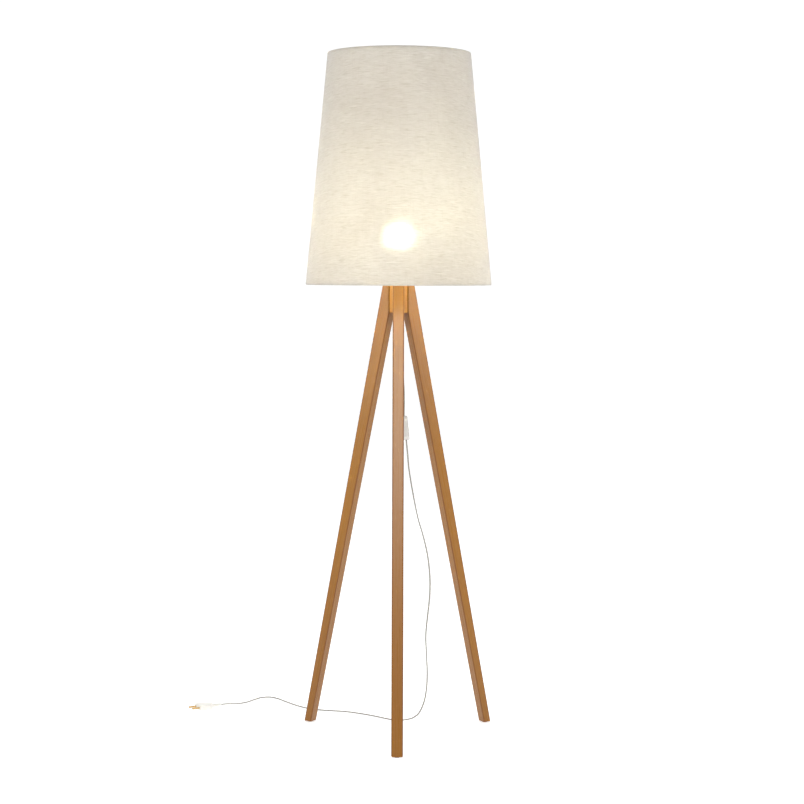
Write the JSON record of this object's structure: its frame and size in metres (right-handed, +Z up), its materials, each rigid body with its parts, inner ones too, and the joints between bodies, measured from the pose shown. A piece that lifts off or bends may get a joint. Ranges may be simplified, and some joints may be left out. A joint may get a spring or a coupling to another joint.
{
  "type": "tripod floor lamp",
  "caption": "Tripod floor lamp with straight tapered wooden legs on a hexagonal hub, a tall tapered linen shade, a screw-in bulb and a flex with an in-line rocker switch and plug.",
  "frame": {"origin": "on the floor, under the lamp's vertical axis", "axes": "+Z up along the lamp's axis, -Y towards the front leg and the usual front view, +X to the lamp's right in that view"},
  "size_m": [0.7006, 0.6094, 1.5],
  "materials": {
    "wood": "oiled oak, satin",
    "dowel_wood": "raw beech",
    "felt": "pressed felt",
    "steel": "zinc plated",
    "brass": "polished",
    "white_plastic": "satin",
    "clear_plastic": "translucent, glossy",
    "ceramic": "glazed ceramic",
    "linen": "natural linen, slubbed weave",
    "liner": "white laminated sheet, matte",
    "white_wire": "white powder coat",
    "opal": "opal diffuser, lit",
    "board": "solder mask",
    "led": "phosphor",
    "dark_plastic": "glossy",
    "cord_skin": "clear flexible vinyl over tinned wire"
  },
  "bodies": {
    "lamp": {"leg_front": "wood", "leg_rear_left": "wood", "leg_rear_right": "wood", "hub_block": "wood", "leg_dowels": "dowel_wood", "foot_pad_front": "felt", "foot_pad_rear_left": "felt", "foot_pad_rear_right": "felt", "stem_tube": "steel", "stem_washer_lower": "steel", "stem_washer_upper": "steel", "stem_nut": "steel", "cord_grip": "white_plastic", "cord_grip_screw": "white_plastic", "holder_cap": "white_plastic", "holder_core": "ceramic", "holder_tongue": "brass", "holder_terminals": "brass", "holder_terminal_screws": "steel", "holder_screw_shell": "brass", "holder_sleeve": "white_plastic", "shade_ring_lower": "white_plastic", "shade_ring_upper": "white_plastic", "shade_fitter": "white_wire", "shade_arm_rear": "white_wire", "shade_arm_left": "white_wire", "shade_arm_right": "white_wire", "shade_bottom_ring": "white_wire", "shade_top_ring": "white_wire", "shade_liner": "liner", "shade_fabric": "linen", "lead_in": "cord_skin", "lead_cores": "cord_skin", "cord_upper": "cord_skin", "switch_base": "clear_plastic", "switch_cover": "clear_plastic", "switch_pin": "steel", "switch_contacts": "brass", "switch_bridge": "brass", "switch_screws": "steel", "switch_leads": "cord_skin", "cord_lower": "cord_skin", "plug_relief": "white_plastic", "plug_body": "white_plastic", "plug_pin_left": "brass", "plug_pin_right": "brass"},
    "bulb": {"bulb_globe": "opal", "bulb_body": "white_plastic", "bulb_led_board": "board", "bulb_leds": "led", "bulb_driver_board": "board", "bulb_capacitor": "dark_plastic", "bulb_screw_shell": "steel", "bulb_insulator": "dark_plastic", "bulb_tip_contact": "steel"},
    "rocker": {"switch_rocker": "white_plastic"}
  },
  "joints": [
    {"name": "bulb_lift", "type": "slide", "parent": "lamp", "child": "bulb", "axis": [0, 0, 1], "range_m": [0, 0.03]},
    {"name": "switch_rock", "type": "hinge", "parent": "lamp", "child": "rocker", "pos_m": [0.01968, 0, 0.68093], "axis": [0, 1, 0], "range_deg": [0, 16]}
  ]
}
